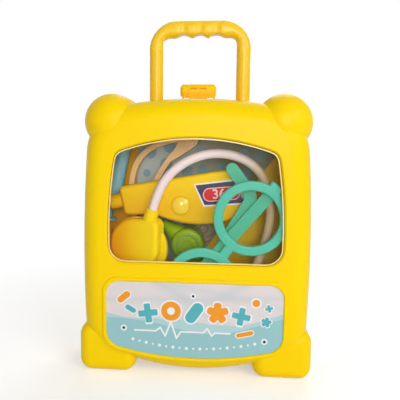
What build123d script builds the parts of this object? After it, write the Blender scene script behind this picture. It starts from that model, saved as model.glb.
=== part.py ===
"""Toy doctor case: a bear-eared clamshell trolley case with a pull-up handle and toy instruments inside.

Frame: millimetres, +Z up, +Y to the back, +X to the right seen from the front. The origin is on the
ground under the middle of the case. The case parts into a front door and a back shell at y = 0.
"""

from build123d import *
from math import cos, radians, sin, tan
import os

os.makedirs("parts", exist_ok=True)

# ---------------------------------------------------------------- driving dimensions
# Case body, seen from the front
body_top = 223.2
body_bottom = 3.0
corner_top = (86.0, 212.0)
side_bulge = (91.8, 95.0)
corner_bottom = (90.0, 26.6)
corner_top_radius = 40.0
corner_bottom_radius = 26.0
# Case body, seen from the side
front_depth = 39.2
back_depth = 40.0
front_edge = 16.0
back_edge = 12.0
wall = 2.2
seam = 0.3

# Ears
ear_x = 68.5
ear_z = 204.9
ear_radius = 22.4
front_ear_depth = 39.8
back_ear_depth = 34.0
ear_edge = 20.5

# Feet
foot_inner = 47.6
foot_outer = 94.4
foot_top = 40.0
foot_radius = 10.0
foot_edge = 9.0
front_foot_depth = 37.5
back_foot_depth = 36.0

# Door hinge along the bottom seam
hinge_z = 3.9
knuckle_radius = 3.4
hinge_pin_radius = 1.5
running_gap = 0.05
side_gap = 0.3
knuckle_start = 17.0
back_knuckle = 8.0
door_knuckle = 12.7
knuckle_arm = 5.0
foot_relief = 7.2
relief_overrun = 2.0
knuckle_room = 0.4

# Window
window_top = 192.6
window_corner_top = (63.4, 180.6)
window_side = (69.3, 123.0)
window_corner_bottom = (68.6, 93.3)
window_radius_top = 10.0
window_radius_bottom = 14.0
window_lip = 1.2
pane_thickness = 1.2
pane_overlap = 4.0

# Badge panel on the door, bare of any name
badge_half_width = 70.5
badge_top = 78.8
badge_bottom = 16.7
badge_corner_z = 26.7
badge_radius_top = 11.0
badge_radius_bottom = 14.0
bead_width = 3.2
bead_rise = 0.8
badge_sink = 0.2
badge_thickness = 0.4
badge_clearance = 0.3
bead_edge = 0.7

# Pull-up handle
handle_x = 37.8
handle_y = 20.0
leg_radius = 6.25
handle_top = 293.2
handle_outer_radius = 25.0
handle_inner_radius = 5.0
handle_edge = 5.0
handle_shoulder = 1.0
grip_height = 14.6
finger_pitch = 14.2
finger_count = 3
finger_radius = 8.0
finger_depth = 2.9
finger_side_depth = 0.9
leg_clearance = 0.10
guide_radius = 9.0
guide_bottom = 130.0
guide_step = 192.0
guide_wide_radius = 7.4
guide_rib = 2.2
stop_radius = 7.2
stop_height = 7.7
stop_floor = 3.0
stop_gap = 0.3

# Latch on the top seam
latch_half_width = 14.75
latch_top = 236.3
latch_front = -9.0
latch_plate = 2.6
latch_skirt = 2.6
latch_edge = 3.4
latch_nose_radius = 3.6
latch_cheek = 2.3
latch_wing_gap = 0.8
latch_slot_size = (6.2, 1.7)
latch_slot_centre = (3.9, 232.3)
latch_slot_floor = 0.8
latch_pin_y = 6.6
latch_pin_z = 229.3
latch_pin_radius = 1.2
latch_lug_half_width = 6.0
latch_lug_radius = 3.2
latch_seat_gap = 0.3
latch_seat_edge = 1.5
latch_tongue_half_width = 7.75
latch_tongue_proud = 1.2
catch_height = 1.0
catch_gap = 0.3

# Wheels at the back of the rear feet
wheel_radius = 11.0
wheel_width = 11.0
wheel_lift = 0.3
wheel_inset = 0.3
wheel_room = 1.2
axle_radius = 2.0
axle_overrun = 1.5
wheel_edge = 1.5
wheel_dish = 1.5
wheel_dish_radius = 7.5
wheel_hub_radius = 4.0

# Panel that closes off the handle guides
panel_front = 9.0
panel_thickness = 1.8
panel_clearance = 0.4
panel_screws_at = [(-82.0, 175.0), (82.0, 175.0), (-80.0, 62.0), (80.0, 62.0)]
boss_radius = 4.0
screw_head_radius = 3.0
screw_head_height = 1.6
screw_shank_radius = 1.25
screw_length = 10.0

# Toy stethoscope: chest piece, tube and headset
bell_radius = 22.0
bell_thickness = 14.0
bell_edge = 3.5
bell_centre = (-51.3, 104.4)
bell_behind_pane = 7.8
bell_turn = 18.0
bell_rim_radius = 26.0
bell_rim_drop = 3.1
bell_rim_thickness = 4.0
bell_rim_edge = 0.7
shoulder_centre = (15.5, 16.0)
shoulder_radius = 6.5
diaphragm_radius = 19.0
diaphragm_thickness = 1.6
neck_radius = 5.7
neck_length = 12.0
tube_radius = 3.75
tube_route = [
    (-34.7, -26.4, 134.5),
    (-29.7, -26.4, 153.1),
    (-14.6, -25.6, 170.5),
    (7.2, -23.7, 180.5),
    (29.3, -20.9, 179.8),
    (48.4, -18.8, 170.0),
    (59.2, -18.0, 151.7),
    (60.8, -17.7, 128.0),
    (56.2, -17.8, 105.0),
    (48.2, -17.9, 83.5),
]
tube_behind_pane = 9.4
stem_radius = 4.6
stem_length = 13.0
yoke_half_width = 17.0
yoke_bend = 14.0
yoke_arm = 44.0
yoke_radius = 2.5
ear_tip_radius = 5.0
ear_tip_length = 9.0

# Toy thermometer
thermometer_behind_pane = 15.3
thermometer_back = -6.0
thermometer_split = 0.1
thermometer_edge = 3.0
thermometer_wall = 1.8
thermometer_left_top = (-64.3, 151.8)
thermometer_right_top = (31.0, 168.1)
thermometer_right = (42.4, 147.6)
thermometer_right_bottom = (37.8, 129.0)
thermometer_belly = (6.2, 122.0)
thermometer_left_bottom = (-33.4, 129.2)
thermometer_end_bottom = (-59.2, 128.8)
thermometer_corner = 4.0
probe_radius = 6.0
probe_length = 11.0
probe_edge = 2.0
probe_spigot_radius = 4.0
probe_spigot_length = 5.0
display_corners = [(-0.7, 154.2), (30.9, 158.3), (39.1, 140.8), (7.0, 138.3)]
display_thickness = 0.8
display_sink = 0.4
button_centre = (-12.8, 137.2)
button_radius = 7.6
button_gap = 0.2
button_rise = 2.6
button_depth = 4.2
button_travel = 1.5
button_floor_gap = 0.3
button_well_wall = 1.6

# Toy glasses, folded, with local X along the row of the two rims
glasses_centre = (24.8, 103.0)
glasses_turn = 54.6
glasses_behind_pane = 0.6
rim_spacing = 66.0
rim_outer = 29.6
rim_inner = 22.0
rim_thickness = 3.8
rim_edge = 1.4
bridge_length = 10.0
bridge_height = 8.0
temple_pivot = (62.0, -1.0)
temple_knee = (-47.0, 8.5)
temple_tip = (-55.3, 34.7)
temple_thickness = 3.2
temple_half_width = 4.8
temple_gap = 0.3
temple_shoulder_gap = 0.9
temple_knee_radius = 10.0
temple_pin_radius = 0.8
lug_half_height = 5.5
lug_half_length = 2.2
lug_slot_half = 3.0
tongue_half_height = 2.7

# Toy otoscope
otoscope_centre = (-6.9, 104.0)
otoscope_behind_pane = 15.8
otoscope_back = 7.4
otoscope_cone_behind = 13.7
otoscope_radius = 13.8
otoscope_handle_end = (7.2, 76.0)
otoscope_handle_radius = 8.0
otoscope_handle_y = -7.5
otoscope_boss_radius = 8.0
otoscope_boss = 1.2
otoscope_edge = 3.0
cone_tip = (-28.9, 120.8)
cone_tip_radius = 2.6
cone_base_radius = 12.4
cone_start = 4.0

# Toy syringe
syringe_centre = (-67.6, 2.4, 167.0)
syringe_lean = 12.0
barrel_radius = 6.5
barrel_bore = 5.3
barrel_top = 25.0
barrel_bottom = -28.0
nozzle_length = 10.0
nozzle_radius = 2.2
nozzle_bore = 0.9
barrel_end_wall = 1.5
flange_half_length = 11.0
flange_half_depth = 6.0
flange_thickness = 2.0
piston_length = 5.0
piston_gap = 0.1
piston_rest = -24.0
plunger_travel = 16.0
plunger_rod = 2.6
thumb_radius = 6.5
thumb_thickness = 2.0
thumb_gap = 0.5

# Toy tweezers and play card, lying against the panel
tweezers_front = -5.3
tweezers_back = 7.5
tweezers_width = 4.4
tweezers_joint = (-6.7, 190.8)
tweezers_joint_radius = 7.0
tweezers_fork = (-21.0, 175.8)
tweezers_left = [(-27.6, 188.8), (-47.8, 176.3), (-56.0, 153.0), (-54.4, 130.0), (-49.4, 113.0)]
tweezers_right = [(-27.8, 168.7), (-39.6, 145.4), (-45.0, 129.3), (-46.6, 113.0)]
card_corners = [(-53.0, 86.0), (-53.0, 204.0), (66.0, 204.0), (75.0, 190.7), (9.2, 98.0), (-1.7, 86.0)]
card_front = 8.2
card_thickness = 0.5


def depth_plane(y):
    """Plane parallel to the front of the case at depth y; it extrudes towards the front."""
    return Plane.XZ.offset(-y)


def both_sides(x, z):
    """The same place left and right of the middle, for a sketch that is seen from the front."""
    return [(-x, z), (x, z)]


def write(part, name):
    part.label = name
    export_step(part, f"parts/{name}.step")


# ---------------------------------------------------------------- outlines
left_top = (-corner_top[0], corner_top[1])
left_bottom = (-corner_bottom[0], corner_bottom[1])
bottom_arc = ThreePointArc(left_bottom, (0, body_bottom), corner_bottom)
top_arc = ThreePointArc(left_top, (0, body_top), corner_top)
right_arc = ThreePointArc(corner_bottom, side_bulge, corner_top)
left_arc = ThreePointArc(left_bottom, (-side_bulge[0], side_bulge[1]), left_top)


def body_outline(inset):
    """Outline of the case body: four bowed sides that meet in rounded corners, shrunk by inset."""
    with BuildSketch() as outline:
        with Locations(bottom_arc.arc_center):
            Circle(bottom_arc.radius - inset)
        with Locations(top_arc.arc_center):
            Circle(top_arc.radius - inset, mode=Mode.INTERSECT)
        with Locations(left_arc.arc_center):
            Circle(left_arc.radius - inset, mode=Mode.INTERSECT)
        with Locations(Location(right_arc.arc_center, 180)):
            Circle(right_arc.radius - inset, mode=Mode.INTERSECT)
        fillet(outline.vertices().group_by(Axis.Y)[0], corner_bottom_radius - inset)
        fillet(outline.vertices().group_by(Axis.Y)[-1], corner_top_radius - inset)
    return outline.sketch


window_left_top = (-window_corner_top[0], window_corner_top[1])
window_left_bottom = (-window_corner_bottom[0], window_corner_bottom[1])
window_left_side = (-window_side[0], window_side[1])
window_top_arc = ThreePointArc(window_left_top, (0, window_top), window_corner_top)
window_left_arc = ThreePointArc(window_left_bottom, window_left_side, window_left_top)
window_right_arc = ThreePointArc(window_corner_bottom, window_side, window_corner_top)


def window_outline(grow):
    """Outline of the window: a straight foot, bowed sides and top, rounded corners, grown by grow."""
    with BuildSketch() as outline:
        with Locations(window_top_arc.arc_center):
            Circle(window_top_arc.radius + grow)
        with Locations(window_left_arc.arc_center):
            Circle(window_left_arc.radius + grow, mode=Mode.INTERSECT)
        with Locations(Location(window_right_arc.arc_center, 180)):
            Circle(window_right_arc.radius + grow, mode=Mode.INTERSECT)
        with Locations((0, window_corner_bottom[1] - grow + window_top / 2)):
            Rectangle(2 * window_top, window_top, mode=Mode.INTERSECT)
        fillet(outline.vertices().group_by(Axis.Y)[0], window_radius_bottom + grow)
        fillet(outline.vertices().group_by(Axis.Y)[-1], window_radius_top + grow)
    return outline.sketch


with BuildSketch() as badge_outline:
    with BuildLine():
        Polyline(
            (-badge_half_width, badge_corner_z),
            (-badge_half_width, badge_top),
            (badge_half_width, badge_top),
            (badge_half_width, badge_corner_z),
        )
        ThreePointArc(
            (badge_half_width, badge_corner_z), (0, badge_bottom), (-badge_half_width, badge_corner_z)
        )
    make_face()
    fillet(badge_outline.vertices().group_by(Axis.Y)[0], badge_radius_bottom)
    fillet(badge_outline.vertices().group_by(Axis.Y)[-1], badge_radius_top)


# ---------------------------------------------------------------- forms shared by the two shells
def ear_form(depth, inset):
    """Half of a round ear in front of the seam, domed in front."""
    with BuildPart() as ear:
        with BuildSketch(depth_plane(-seam / 2)):
            Circle(ear_radius - inset)
        extrude(amount=depth - seam / 2 - inset)
        fillet(ear.faces().sort_by(Axis.Y)[0].edges(), ear_edge - inset)
    return ear.part


def foot_form(depth, inset):
    """Half of a foot in front of the seam, about its own middle."""
    with BuildPart() as foot:
        with BuildSketch(depth_plane(-seam / 2)):
            RectangleRounded(
                foot_outer - foot_inner - 2 * inset, foot_top - 2 * inset, foot_radius - inset
            )
        extrude(amount=depth - seam / 2 - inset)
        fillet(foot.faces().sort_by(Axis.Y)[0].edges(), foot_edge - inset)
    return foot.part


def case_form(depth, edge, ear_depth, foot_depth, inset=0.0):
    """Solid form of one half of the case in front of the seam, shrunk by inset."""
    ear = ear_form(ear_depth, inset)
    foot = foot_form(foot_depth, inset)
    foot_middle = (foot_inner + foot_outer) / 2
    with BuildPart() as form:
        with BuildSketch(depth_plane(-seam / 2)):
            add(body_outline(inset))
        extrude(amount=depth - seam / 2 - inset)
        fillet(form.faces().sort_by(Axis.Y)[0].edges(), edge - inset)
        with Locations((-ear_x, 0, ear_z), (ear_x, 0, ear_z)):
            add(ear)
        with Locations((-foot_middle, 0, foot_top / 2), (foot_middle, 0, foot_top / 2)):
            add(foot)
    return form.part


def foot_relief_form(radius):
    """Bars along the hinge axis, where the feet are rounded away so that the halves can turn."""
    length = foot_outer - foot_inner + 2 * relief_overrun
    middle = (foot_inner + foot_outer) / 2
    with BuildPart() as relief:
        with Locations(
            Location((-middle, 0, hinge_z), (0, 90, 0)), Location((middle, 0, hinge_z), (0, 90, 0))
        ):
            Cylinder(radius, length)
    return relief.part


door_knuckle_start = knuckle_start + back_knuckle + side_gap
outer_knuckle_start = door_knuckle_start + door_knuckle + side_gap
hinge_end = outer_knuckle_start + back_knuckle
hinge_pin_length = hinge_end - knuckle_start
hinge_pin_middle = knuckle_start + hinge_pin_length / 2


def knuckle_relief_form(grow):
    """Bar along both hinges and between them, where the shells make room for the knuckles to turn."""
    with BuildPart() as relief:
        with Locations(Location((0, 0, hinge_z), (0, 90, 0))):
            Cylinder(knuckle_radius + knuckle_room + grow, 2 * (hinge_end + side_gap + grow))
    return relief.part


def hinge_leaf(starts, length, side):
    """Knuckles of one hinge leaf with the arms that carry them up to the case, left and right."""
    arm_height = corner_bottom[1] - hinge_z
    arm_y = side * (seam + knuckle_arm / 2)
    with BuildPart() as leaf:
        for start in starts:
            for x in (-start - length / 2, start + length / 2):
                with Locations(Location((x, 0, hinge_z), (0, 90, 0))):
                    Cylinder(knuckle_radius, length)
                with Locations((x, arm_y, hinge_z + arm_height / 2)):
                    Box(length, knuckle_arm, arm_height)
    return leaf.part


def hinge_bore(radius, length):
    """Bars along the hinge axis as long as the hinge on each side of the middle."""
    with BuildPart() as bore:
        with Locations(
            Location((-hinge_pin_middle, 0, hinge_z), (0, 90, 0)),
            Location((hinge_pin_middle, 0, hinge_z), (0, 90, 0)),
        ):
            Cylinder(radius, length)
    return bore.part


# ---------------------------------------------------------------- front door
bead_front = front_depth + bead_rise
badge_floor = front_depth - badge_sink
door_form = case_form(front_depth, front_edge, front_ear_depth, front_foot_depth)
with BuildPart() as door_cavity:
    add(case_form(front_depth, front_edge, front_ear_depth, front_foot_depth, wall))
    add(foot_relief_form(foot_relief + wall), mode=Mode.SUBTRACT)
    add(knuckle_relief_form(wall), mode=Mode.SUBTRACT)

with BuildPart() as badge_pad:
    with BuildSketch(depth_plane(-front_edge)):
        add(badge_outline.sketch)
        offset(amount=bead_width)
    extrude(amount=bead_front - front_edge)
    fillet(badge_pad.faces().sort_by(Axis.Y)[0].edges(), bead_edge)

with BuildPart() as front_shell:
    add(door_form)
    add(badge_pad.part)
    add(knuckle_relief_form(0), mode=Mode.SUBTRACT)
    add(hinge_leaf([door_knuckle_start], door_knuckle, -1))
    add(door_cavity.part, mode=Mode.SUBTRACT)
    add(foot_relief_form(foot_relief), mode=Mode.SUBTRACT)
    add(hinge_bore(hinge_pin_radius + running_gap, hinge_pin_length), mode=Mode.SUBTRACT)
    with BuildSketch(depth_plane(-badge_floor)):
        add(badge_outline.sketch)
    extrude(amount=bead_front - badge_floor, mode=Mode.SUBTRACT)
    with BuildSketch(depth_plane(-front_depth + wall)):
        add(window_outline(0))
    extrude(amount=wall, mode=Mode.SUBTRACT)
    with BuildSketch(depth_plane(-front_depth + window_lip)):
        add(window_outline(0))
    with BuildSketch(depth_plane(-front_depth)):
        add(window_outline(window_lip))
    loft(ruled=True, mode=Mode.SUBTRACT)
    with Locations((0, latch_front + latch_skirt / 2, body_top)):
        Box(2 * latch_tongue_half_width, latch_skirt, 2 * catch_height)
write(front_shell.part, "front_shell")

with BuildPart() as window_pane:
    with BuildSketch(depth_plane(-front_depth + wall + pane_thickness)):
        add(window_outline(pane_overlap))
    extrude(amount=pane_thickness)
write(window_pane.part, "window_pane")

with BuildPart() as badge_plate:
    with BuildSketch(depth_plane(-badge_floor)):
        add(badge_outline.sketch)
        offset(amount=-badge_clearance)
    extrude(amount=badge_thickness)
write(badge_plate.part, "badge_plate")

# ---------------------------------------------------------------- back shell
panel_back = panel_front + panel_thickness
wheel_x = (foot_inner + foot_outer) / 2
wheel_y = back_depth - wheel_radius - wheel_inset
wheel_z = wheel_radius + wheel_lift
arch_radius = wheel_radius + wheel_room
arch_width = wheel_width + 2 * wheel_room
axle_length = arch_width + 2 * (wall + axle_overrun)


def arch_form(grow):
    """Room round both wheels, open to the back and the ground, grown on every side."""
    radius = arch_radius + grow
    width = arch_width + 2 * grow
    with BuildPart() as arch:
        for x in (-wheel_x, wheel_x):
            with Locations(Location((x, wheel_y, wheel_z), (0, 90, 0))):
                Cylinder(radius, width)
            with Locations((x, wheel_y, wheel_z - radius)):
                Box(width, 2 * radius, 2 * radius)
            with Locations((x, wheel_y + radius, wheel_z - radius / 2)):
                Box(width, 2 * radius, 3 * radius)
    return arch.part


back_form = mirror(case_form(back_depth, back_edge, back_ear_depth, back_foot_depth), Plane.XZ)
with BuildPart() as back_cavity:
    add(mirror(case_form(back_depth, back_edge, back_ear_depth, back_foot_depth, wall), Plane.XZ))
    add(foot_relief_form(foot_relief + wall), mode=Mode.SUBTRACT)
    add(knuckle_relief_form(wall), mode=Mode.SUBTRACT)
    add(arch_form(wall), mode=Mode.SUBTRACT)

with BuildPart() as guides:
    for x in (-handle_x, handle_x):
        with BuildSketch(Plane.XY.offset(guide_bottom)):
            with Locations((x, handle_y)):
                Circle(guide_radius)
            with Locations((x, (handle_y + back_depth) / 2)):
                Rectangle(guide_rib, back_depth - handle_y)
        extrude(amount=body_top - guide_bottom)
    for x, z in panel_screws_at:
        with BuildSketch(depth_plane(back_depth)):
            with Locations((x, z)):
                Circle(boss_radius)
        extrude(amount=back_depth - panel_back)
    add(back_form, mode=Mode.INTERSECT)

latch_bottom = body_top + catch_height + catch_gap
wing_bottom = latch_bottom + latch_wing_gap
latch_tail = latch_pin_z - wing_bottom
latch_back = latch_pin_y + latch_tail

with BuildPart() as back_shell:
    add(back_form)
    add(knuckle_relief_form(0), mode=Mode.SUBTRACT)
    add(hinge_leaf([knuckle_start, outer_knuckle_start], back_knuckle, 1))
    add(back_cavity.part, mode=Mode.SUBTRACT)
    add(guides.part)
    add(foot_relief_form(foot_relief), mode=Mode.SUBTRACT)
    add(arch_form(0), mode=Mode.SUBTRACT)
    add(hinge_bore(hinge_pin_radius, hinge_pin_length), mode=Mode.SUBTRACT)
    for x in (-wheel_x, wheel_x):
        with Locations(Location((x, wheel_y, wheel_z), (0, 90, 0))):
            Cylinder(axle_radius, axle_length, mode=Mode.SUBTRACT)
    with BuildSketch(Plane.XY.offset(guide_bottom)):
        with Locations((-handle_x, handle_y), (handle_x, handle_y)):
            Circle(guide_wide_radius)
    extrude(amount=guide_step - guide_bottom, mode=Mode.SUBTRACT)
    with BuildSketch(Plane.XY.offset(guide_step)):
        with Locations((-handle_x, handle_y), (handle_x, handle_y)):
            Circle(leg_radius + leg_clearance)
    extrude(amount=body_top - guide_step, mode=Mode.SUBTRACT)
    for x, z in panel_screws_at:
        with BuildSketch(depth_plane(panel_back + screw_length)):
            with Locations((x, z)):
                Circle(screw_shank_radius)
        extrude(amount=screw_length, mode=Mode.SUBTRACT)
    with BuildSketch(Plane.XY.offset(body_top - wall / 2)):
        with Locations((0, (seam + latch_back) / 2)):
            RectangleRounded(2 * latch_half_width, latch_back - seam, latch_seat_edge)
    extrude(amount=wing_bottom - latch_seat_gap - body_top + wall / 2)
    with Locations(Location((0, latch_pin_y, latch_pin_z), (0, 90, 0))):
        Cylinder(latch_lug_radius, 2 * latch_lug_half_width)
    with Locations((0, latch_pin_y, (latch_pin_z + body_top - wall / 2) / 2)):
        Box(2 * latch_lug_half_width, 2 * latch_lug_radius, latch_pin_z - body_top + wall / 2)
    with Locations(Location((0, latch_pin_y, latch_pin_z), (0, 90, 0))):
        Cylinder(latch_pin_radius, 2 * latch_lug_half_width, mode=Mode.SUBTRACT)
write(back_shell.part, "back_shell")

with BuildPart() as inner_panel:
    with BuildSketch(depth_plane(panel_back)):
        add(body_outline(wall + panel_clearance))
    extrude(amount=panel_thickness)
    with BuildSketch(depth_plane(panel_back)):
        with Locations(*panel_screws_at):
            Circle(screw_shank_radius)
    extrude(amount=panel_thickness, mode=Mode.SUBTRACT)
write(inner_panel.part, "inner_panel")

with BuildPart() as panel_screws:
    with BuildSketch(depth_plane(panel_front)):
        with Locations(*panel_screws_at):
            Circle(screw_head_radius)
    extrude(amount=screw_head_height)
    with BuildSketch(depth_plane(panel_front + screw_length)):
        with Locations(*panel_screws_at):
            Circle(screw_shank_radius)
    extrude(amount=screw_length)
write(panel_screws.part, "panel_screws")

# ---------------------------------------------------------------- hinge and wheels
write(hinge_bore(hinge_pin_radius, hinge_pin_length), "hinge_pins")


def make_wheel(x, name):
    """Moulded wheel with a rounded tread and a dished face on each side."""
    with BuildPart() as wheel:
        with Locations(Location((x, wheel_y, wheel_z), (0, 90, 0))):
            Cylinder(wheel_radius, wheel_width)
        fillet(wheel.edges(), wheel_edge)
        for side in (-1, 1):
            dish = (x + side * (wheel_width - wheel_dish) / 2, wheel_y, wheel_z)
            with Locations(Location(dish, (0, 90, 0))):
                Cylinder(wheel_dish_radius, wheel_dish, mode=Mode.SUBTRACT)
                Cylinder(wheel_hub_radius, wheel_dish)
        with Locations(Location((x, wheel_y, wheel_z), (0, 90, 0))):
            Cylinder(axle_radius + running_gap, wheel_width, mode=Mode.SUBTRACT)
    write(wheel.part, name)


make_wheel(-wheel_x, "wheel_left")
make_wheel(wheel_x, "wheel_right")

with BuildPart() as wheel_axles:
    for x in (-wheel_x, wheel_x):
        with Locations(Location((x, wheel_y, wheel_z), (0, 90, 0))):
            Cylinder(axle_radius, axle_length)
write(wheel_axles.part, "wheel_axles")

# ---------------------------------------------------------------- handle
leg_bottom = guide_step - stop_gap - stop_height + stop_floor
head_bottom = handle_top - handle_outer_radius - handle_shoulder
handle_outer = handle_x + leg_radius
handle_inner = handle_x - leg_radius

with BuildSketch() as handle_outline:
    with BuildLine():
        Polyline(
            (-handle_outer, head_bottom),
            (-handle_outer, handle_top),
            (handle_outer, handle_top),
            (handle_outer, head_bottom),
            (handle_inner, head_bottom),
            (handle_inner, handle_top - grip_height),
            (-handle_inner, handle_top - grip_height),
            (-handle_inner, head_bottom),
            close=True,
        )
    make_face()
    underside = handle_outline.vertices().group_by(Axis.Y)[1]
    fillet(underside, handle_inner_radius)
    fillet(handle_outline.vertices().group_by(Axis.Y)[-1], handle_outer_radius)

with BuildPart() as handle:
    with BuildSketch(depth_plane(handle_y + leg_radius)):
        add(handle_outline.sketch)
    extrude(amount=2 * leg_radius)
    rims = handle.faces().filter_by(Axis.Y).edges() - handle.faces().sort_by(Axis.Z)[0:2].edges()
    fillet(rims, handle_edge)
    for place in range(finger_count):
        x = (place - (finger_count - 1) / 2) * finger_pitch
        scallop_z = handle_top - grip_height + finger_depth - finger_radius
        with Locations(Location((x, handle_y, scallop_z), (90, 0, 0))):
            Cylinder(finger_radius, 4 * leg_radius, mode=Mode.SUBTRACT)
        scallop_reach = leg_radius + finger_radius - finger_side_depth
        for y in (handle_y - scallop_reach, handle_y + scallop_reach):
            with Locations((x, y, handle_top - grip_height / 2)):
                Cylinder(finger_radius, 2 * grip_height, mode=Mode.SUBTRACT)
    with BuildSketch(Plane.XY.offset(leg_bottom)):
        with Locations((-handle_x, handle_y), (handle_x, handle_y)):
            Circle(leg_radius)
    extrude(amount=head_bottom - leg_bottom)
    with BuildSketch(Plane.XY.offset(leg_bottom)):
        with Locations((-handle_x, handle_y), (handle_x, handle_y)):
            Circle(screw_shank_radius)
    extrude(amount=screw_length - stop_floor, mode=Mode.SUBTRACT)
write(handle.part, "handle")

stop_top = guide_step - stop_gap
with BuildPart() as handle_stops:
    with BuildSketch(Plane.XY.offset(stop_top - stop_height)):
        with Locations((-handle_x, handle_y), (handle_x, handle_y)):
            Circle(stop_radius)
    extrude(amount=stop_height)
    with BuildSketch(Plane.XY.offset(leg_bottom)):
        with Locations((-handle_x, handle_y), (handle_x, handle_y)):
            Circle(leg_radius)
    extrude(amount=stop_height, mode=Mode.SUBTRACT)
    with BuildSketch(Plane.XY.offset(stop_top - stop_height)):
        with Locations((-handle_x, handle_y), (handle_x, handle_y)):
            Circle(screw_shank_radius)
    extrude(amount=stop_height, mode=Mode.SUBTRACT)
write(handle_stops.part, "handle_stops")

with BuildPart() as stop_screws:
    with BuildSketch(Plane.XY.offset(stop_top - stop_height - screw_head_height)):
        with Locations((-handle_x, handle_y), (handle_x, handle_y)):
            Circle(screw_head_radius)
    extrude(amount=screw_head_height)
    with BuildSketch(Plane.XY.offset(stop_top - stop_height)):
        with Locations((-handle_x, handle_y), (handle_x, handle_y)):
            Circle(screw_shank_radius)
    extrude(amount=screw_length)
write(stop_screws.part, "handle_stop_screws")

# ---------------------------------------------------------------- latch
with BuildSketch() as latch_side:
    with BuildLine():
        Polyline(
            (latch_front, wing_bottom),
            (latch_front, latch_top),
            (latch_back, latch_top),
            (latch_back, wing_bottom),
            close=True,
        )
    make_face()
    fillet(latch_side.vertices().sort_by(Axis.X)[-2:].sort_by(Axis.Y)[0], latch_tail)
    fillet(latch_side.vertices().group_by(Axis.Y)[-1], latch_nose_radius)

with BuildPart() as latch:
    with BuildSketch(Plane.YZ.offset(-latch_half_width)):
        add(latch_side.sketch)
    extrude(amount=2 * latch_half_width)
    latch_ends = latch.faces().filter_by(Axis.X).edges()
    fillet(latch_ends.filter_by(lambda edge: edge.center().Z > wing_bottom + 0.1), latch_edge)
    hollow_length = latch_back - latch_front
    hollow_y = latch_front + latch_skirt + hollow_length / 2
    hollow_height = latch_top - latch_plate - wing_bottom
    with Locations((0, hollow_y, wing_bottom)):
        Box(2 * (latch_half_width - latch_cheek), hollow_length, 2 * hollow_height, mode=Mode.SUBTRACT)
    tongue_height = latch_top - latch_nose_radius - latch_bottom
    with BuildSketch(depth_plane(latch_front + latch_skirt)):
        with Locations((0, latch_bottom + tongue_height / 2)):
            RectangleRounded(2 * latch_tongue_half_width, tongue_height, latch_tongue_proud)
    extrude(amount=latch_skirt + latch_tongue_proud)
    with BuildSketch(depth_plane(latch_front + latch_skirt - latch_slot_floor)):
        with Locations(*both_sides(*latch_slot_centre)):
            Rectangle(*latch_slot_size)
    extrude(amount=latch_skirt + latch_tongue_proud, mode=Mode.SUBTRACT)
    with Locations(Location((0, latch_pin_y, latch_pin_z), (0, 90, 0))):
        Cylinder(latch_pin_radius + running_gap, 2 * latch_half_width, mode=Mode.SUBTRACT)
write(latch.part, "latch")

with BuildPart() as latch_pin:
    with Locations(Location((0, latch_pin_y, latch_pin_z), (0, 90, 0))):
        Cylinder(latch_pin_radius, 2 * latch_half_width - latch_edge)
write(latch_pin.part, "latch_pin")

# ---------------------------------------------------------------- stethoscope
pane_back = wall + pane_thickness - front_depth
turn = radians(bell_turn)
bell_origin = (bell_centre[0], pane_back + bell_behind_pane, bell_centre[1])
bell_plane = Plane(bell_origin, x_dir=(cos(turn), -sin(turn), 0), z_dir=(-sin(turn), -cos(turn), 0))
bell_axis = Axis(bell_plane.origin, bell_plane.z_dir)
tube_shift = Vector(0, pane_back + tube_behind_pane - tube_route[0][1], 0)
tube_points = [Vector(*point) + tube_shift for point in tube_route]
tube_start = (tube_points[1] - tube_points[0]).normalized()
tube_end = (tube_points[-1] - tube_points[-2]).normalized()

with BuildPart() as chest_piece:
    with BuildSketch(bell_plane):
        Circle(bell_radius)
        with Locations(shoulder_centre):
            Circle(shoulder_radius)
        make_hull()
    extrude(amount=-bell_thickness)
    fillet(chest_piece.faces().sort_by(bell_axis)[-1].edges(), bell_edge)
    with BuildSketch(bell_plane.offset(bell_rim_thickness - bell_thickness)):
        with Locations((0, -bell_rim_drop)):
            Circle(bell_rim_radius)
    extrude(amount=-bell_rim_thickness)
    rim_edges = chest_piece.edges().filter_by(GeomType.CIRCLE)
    fillet(rim_edges.filter_by(lambda edge: abs(edge.radius - bell_rim_radius) < 0.01), bell_rim_edge)
    with BuildSketch(Plane(tube_points[0], z_dir=tube_start)):
        Circle(neck_radius)
    extrude(amount=-neck_length)
write(chest_piece.part, "stethoscope_chest_piece")

with BuildPart() as diaphragm:
    with BuildSketch(bell_plane.offset(-bell_thickness)):
        with Locations((0, -bell_rim_drop)):
            Circle(diaphragm_radius)
    extrude(amount=-diaphragm_thickness)
write(diaphragm.part, "stethoscope_diaphragm")

runs = [(after - before).length for before, after in zip(tube_points, tube_points[1:])]
turns = [
    (there - here).get_angle(here - before)
    for before, here, there in zip(tube_points, tube_points[1:], tube_points[2:])
]
tube_bends = [
    0.45 * min(short, long) / tan(radians(angle / 2)) for short, long, angle in zip(runs, runs[1:], turns)
]

with BuildPart() as tube:
    with BuildLine() as tube_path:
        FilletPolyline(*tube_points, radius=tube_bends)
    with BuildSketch(Plane(tube_points[0], z_dir=tube_start)):
        Circle(tube_radius)
    sweep()
write(tube.part, "stethoscope_tube")

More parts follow.
